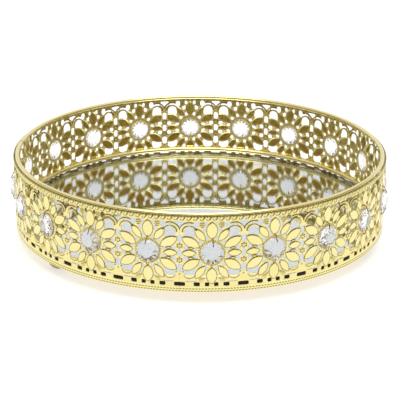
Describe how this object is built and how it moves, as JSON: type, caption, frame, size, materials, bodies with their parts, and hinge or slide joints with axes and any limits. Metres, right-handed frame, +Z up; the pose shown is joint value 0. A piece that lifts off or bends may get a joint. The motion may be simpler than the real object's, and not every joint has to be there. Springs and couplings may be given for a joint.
{
  "type": "vanity tray",
  "caption": "Round mirrored vanity tray with a pierced gold gallery of flowers, each set with a cut crystal under wire pins, wire hoops and bun feet.",
  "frame": {"origin": "centre of the tray on the surface that its feet stand on", "axes": "+Z up, along the tray's axis; -Y towards the front, through the middle of a flower"},
  "size_m": [0.257, 0.257, 0.0591],
  "materials": {
    "gallery_gold": "bright pale gold plating on stamped brass sheet",
    "hoop_gold": "polished pale gold plating on round wire",
    "pan_gold": "satin gold plating",
    "foot_gold": "polished gold plating",
    "pin_gold": "bright drawn wire",
    "screw_steel": "zinc plated",
    "mirror_glass": "clear float glass silvered on its back",
    "black_foam": "matt foam",
    "black_seal": "matt black edge tape",
    "cut_crystal": "clear faceted crystal"
  },
  "bodies": {
    "root": {"gallery_strip_1": "gallery_gold", "gallery_strip_2": "gallery_gold", "gallery_strip_3": "gallery_gold", "gallery_strip_4": "gallery_gold", "gallery_strip_5": "gallery_gold", "rim_hoop": "hoop_gold", "mirror_hoop": "hoop_gold", "base_pan": "pan_gold", "backing_pad": "black_foam", "edge_seal": "black_seal", "mirror_glass": "mirror_glass", "foot_1": "foot_gold", "foot_2": "foot_gold", "foot_3": "foot_gold", "foot_screws": "screw_steel", "crystal_01": "cut_crystal", "crystal_02": "cut_crystal", "crystal_03": "cut_crystal", "crystal_04": "cut_crystal", "crystal_05": "cut_crystal", "crystal_06": "cut_crystal", "crystal_07": "cut_crystal", "crystal_08": "cut_crystal", "crystal_09": "cut_crystal", "crystal_10": "cut_crystal", "crystal_11": "cut_crystal", "crystal_12": "cut_crystal", "crystal_13": "cut_crystal", "crystal_14": "cut_crystal", "crystal_15": "cut_crystal", "crystal_16": "cut_crystal", "crystal_17": "cut_crystal", "crystal_18": "cut_crystal", "crystal_19": "cut_crystal", "crystal_20": "cut_crystal", "upper_pins": "pin_gold", "lower_pins": "pin_gold"}
  },
  "joints": []
}
